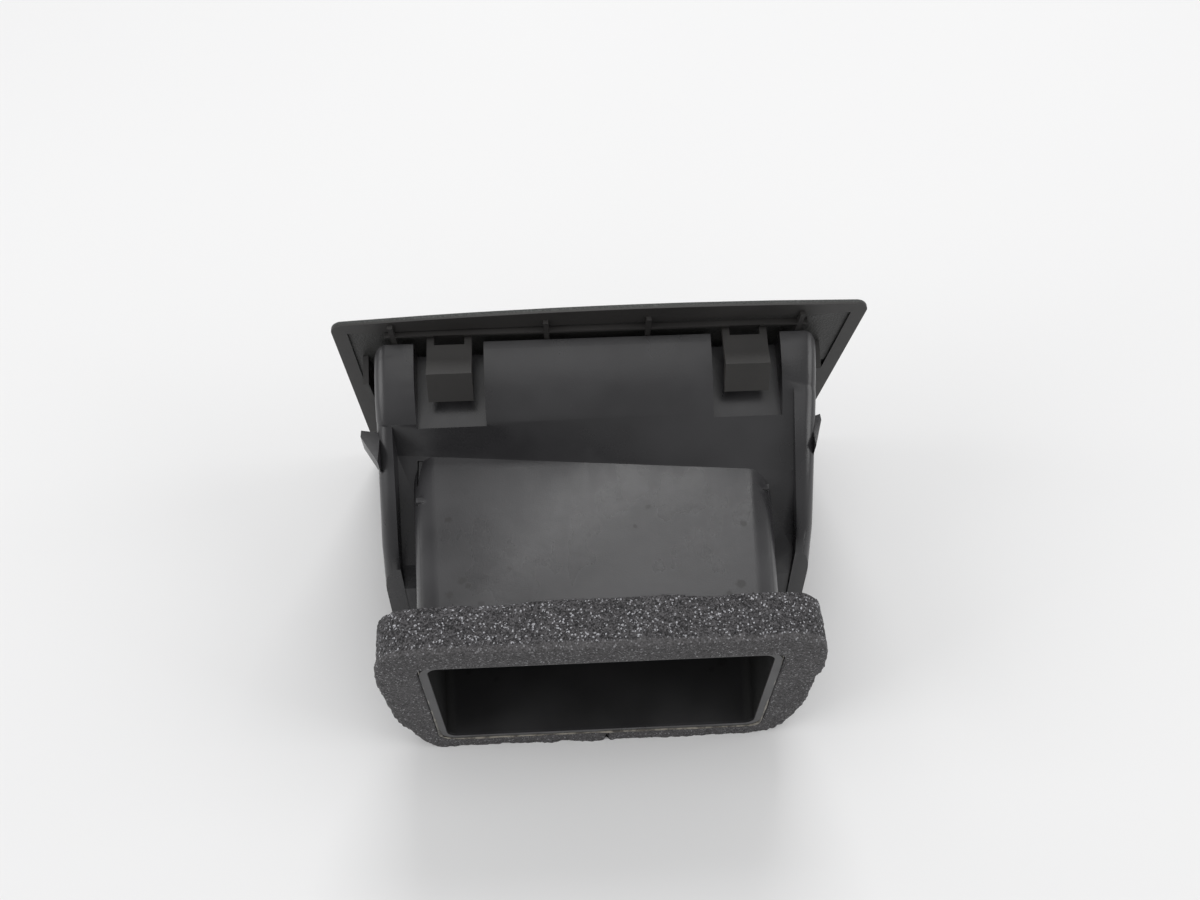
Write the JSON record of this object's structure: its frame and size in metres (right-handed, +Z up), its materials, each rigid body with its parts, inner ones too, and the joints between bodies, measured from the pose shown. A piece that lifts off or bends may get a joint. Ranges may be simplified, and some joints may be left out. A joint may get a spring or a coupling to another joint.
{
  "type": "dashboard air vent",
  "caption": "Dashboard air outlet: leaning bezel, coupled horizontal and vertical louvres with a slide knob, thumbwheel damper, snap-in housing and short rectangular duct with foam gasket.",
  "frame": {"origin": "on the surface the part stands on, under the middle of its bounding box", "axes": "+Z up, +Y towards the duct's inlet, -Y towards the cabin, +X along the bezel's long edge"},
  "size_m": [0.1512, 0.108, 0.0975],
  "materials": {
    "housing_plastic": "smooth moulded, satin, handling marks",
    "bezel_plastic": "leather grain in front, smooth behind",
    "carrier_plastic": "fine satin",
    "vane_plastic": "fine satin",
    "link_plastic": "natural acetal, smooth",
    "knob_plastic": "satin",
    "grip_rubber": "ribbed, matte",
    "flap_plastic": "satin",
    "shaft_steel": "ground",
    "bush_plastic": "natural acetal",
    "gasket_foam": "open-cell charcoal foam",
    "seal_foam": "closed-cell foam",
    "adhesive_tape": "glossy adhesive"
  },
  "bodies": {
    "root": {"housing": "housing_plastic", "bezel": "bezel_plastic", "vane_carrier": "carrier_plastic", "inlet_foam": "gasket_foam", "foam_tape": "adhesive_tape", "damper_bushes": "bush_plastic"},
    "horizontal_vane_1_body": {"horizontal_vane_1": "vane_plastic"},
    "horizontal_vane_2_body": {"horizontal_vane_2": "vane_plastic"},
    "horizontal_vane_3_body": {"horizontal_vane_3": "vane_plastic"},
    "horizontal_vane_4_body": {"horizontal_vane_4": "vane_plastic"},
    "horizontal_vane_5_body": {"horizontal_vane_5": "vane_plastic"},
    "horizontal_link_body": {"horizontal_link": "link_plastic"},
    "knob_body": {"knob": "knob_plastic", "knob_grip": "grip_rubber"},
    "vertical_vane_1_body": {"vertical_vane_1": "vane_plastic"},
    "vertical_vane_2_body": {"vertical_vane_2": "vane_plastic"},
    "vertical_vane_3_body": {"vertical_vane_3": "vane_plastic"},
    "vertical_vane_4_body": {"vertical_vane_4": "vane_plastic"},
    "vertical_vane_5_body": {"vertical_vane_5": "vane_plastic"},
    "vertical_vane_6_body": {"vertical_vane_6": "vane_plastic"},
    "vertical_vane_7_body": {"vertical_vane_7": "vane_plastic"},
    "vertical_link_body": {"vertical_link": "link_plastic"},
    "thumbwheel_body": {"thumbwheel": "knob_plastic", "thumbwheel_grip": "grip_rubber"},
    "damper_rod_body": {"damper_rod": "link_plastic"},
    "damper_body": {"damper_flap": "flap_plastic", "damper_shaft": "shaft_steel", "damper_crank": "link_plastic", "damper_seal": "seal_foam"}
  },
  "joints": [
    {"name": "horizontal_vane_1_tilt", "type": "hinge", "parent": "root", "child": "horizontal_vane_1_body", "pos_m": [-0.0009, -0.04044, 0.01825], "axis": [1, 0, 0], "range_deg": [-25, 25]},
    {"name": "horizontal_vane_2_tilt", "type": "hinge", "parent": "root", "child": "horizontal_vane_2_body", "pos_m": [-0.0009, -0.03832, 0.02782], "axis": [1, 0, 0], "range_deg": [-25, 25]},
    {"name": "horizontal_vane_3_tilt", "type": "hinge", "parent": "root", "child": "horizontal_vane_3_body", "pos_m": [-0.0009, -0.0362, 0.03739], "axis": [1, 0, 0], "range_deg": [-25, 25]},
    {"name": "horizontal_vane_4_tilt", "type": "hinge", "parent": "root", "child": "horizontal_vane_4_body", "pos_m": [-0.0009, -0.03408, 0.04695], "axis": [1, 0, 0], "range_deg": [-25, 25]},
    {"name": "horizontal_vane_5_tilt", "type": "hinge", "parent": "root", "child": "horizontal_vane_5_body", "pos_m": [-0.0009, -0.03196, 0.05652], "axis": [1, 0, 0], "range_deg": [-25, 25]},
    {"name": "horizontal_link_swing", "type": "hinge", "parent": "horizontal_vane_3_body", "child": "horizontal_link_body", "pos_m": [0.0457, -0.03132, 0.0363], "axis": [1, 0, 0], "range_deg": [-25, 25]},
    {"name": "knob_slide", "type": "slide", "parent": "horizontal_vane_3_body", "child": "knob_body", "axis": [1, 0, 0], "range_m": [-0.007, 0.007]},
    {"name": "vertical_vane_1_turn", "type": "hinge", "parent": "root", "child": "vertical_vane_1_body", "pos_m": [-0.0429, -0.01667, 0.03306], "axis": [0, 0.2164, 0.9763], "range_deg": [-38.6, 38.6]},
    {"name": "vertical_vane_2_turn", "type": "hinge", "parent": "root", "child": "vertical_vane_2_body", "pos_m": [-0.0289, -0.01667, 0.03306], "axis": [0, 0.2164, 0.9763], "range_deg": [-38.6, 38.6]},
    {"name": "vertical_vane_3_turn", "type": "hinge", "parent": "root", "child": "vertical_vane_3_body", "pos_m": [-0.0149, -0.01667, 0.03306], "axis": [0, 0.2164, 0.9763], "range_deg": [-38.6, 38.6]},
    {"name": "vertical_vane_4_turn", "type": "hinge", "parent": "root", "child": "vertical_vane_4_body", "pos_m": [-0.0009, -0.01667, 0.03306], "axis": [0, 0.2164, 0.9763], "range_deg": [-38.6, 38.6]},
    {"name": "vertical_vane_5_turn", "type": "hinge", "parent": "root", "child": "vertical_vane_5_body", "pos_m": [0.0131, -0.01667, 0.03306], "axis": [0, 0.2164, 0.9763], "range_deg": [-38.6, 38.6]},
    {"name": "vertical_vane_6_turn", "type": "hinge", "parent": "root", "child": "vertical_vane_6_body", "pos_m": [0.0271, -0.01667, 0.03306], "axis": [0, 0.2164, 0.9763], "range_deg": [-38.6, 38.6]},
    {"name": "vertical_vane_7_turn", "type": "hinge", "parent": "root", "child": "vertical_vane_7_body", "pos_m": [0.0411, -0.01667, 0.03306], "axis": [0, 0.2164, 0.9763], "range_deg": [-38.6, 38.6]},
    {"name": "vertical_link_swing", "type": "hinge", "parent": "vertical_vane_4_body", "child": "vertical_link_body", "pos_m": [-0.0009, -0.00731, 0.05219], "axis": [0, 0.2164, 0.9763], "range_deg": [-38.6, 38.6]},
    {"name": "thumbwheel_turn", "type": "hinge", "parent": "root", "child": "thumbwheel_body", "pos_m": [-0.0592, -0.03718, 0.0376], "axis": [1, 0, 0], "range_deg": [0, 90]},
    {"name": "damper_turn", "type": "hinge", "parent": "root", "child": "damper_body", "pos_m": [0.0018, 0.00698, 0.026], "axis": [1, 0, 0], "range_deg": [0, 90]},
    {"name": "damper_rod_swing", "type": "hinge", "parent": "thumbwheel_body", "child": "damper_rod_body", "pos_m": [-0.0556, -0.03174, 0.04078], "axis": [1, 0, 0], "range_deg": [-90, 0]}
  ],
  "couplings": [
    {"joint": "horizontal_vane_1_tilt", "follows": "horizontal_vane_3_tilt", "ratio": 1},
    {"joint": "horizontal_vane_2_tilt", "follows": "horizontal_vane_3_tilt", "ratio": 1},
    {"joint": "horizontal_vane_4_tilt", "follows": "horizontal_vane_3_tilt", "ratio": 1},
    {"joint": "horizontal_vane_5_tilt", "follows": "horizontal_vane_3_tilt", "ratio": 1},
    {"joint": "horizontal_link_swing", "follows": "horizontal_vane_3_tilt", "ratio": -1},
    {"joint": "vertical_vane_1_turn", "follows": "knob_slide", "rad_per_m": 95},
    {"joint": "vertical_vane_2_turn", "follows": "knob_slide", "rad_per_m": 95},
    {"joint": "vertical_vane_3_turn", "follows": "knob_slide", "rad_per_m": 95},
    {"joint": "vertical_vane_4_turn", "follows": "knob_slide", "rad_per_m": 95},
    {"joint": "vertical_vane_5_turn", "follows": "knob_slide", "rad_per_m": 95},
    {"joint": "vertical_vane_6_turn", "follows": "knob_slide", "rad_per_m": 95},
    {"joint": "vertical_vane_7_turn", "follows": "knob_slide", "rad_per_m": 95},
    {"joint": "vertical_link_swing", "follows": "knob_slide", "rad_per_m": -95},
    {"joint": "damper_turn", "follows": "thumbwheel_turn", "ratio": 1},
    {"joint": "damper_rod_swing", "follows": "thumbwheel_turn", "ratio": -1}
  ]
}
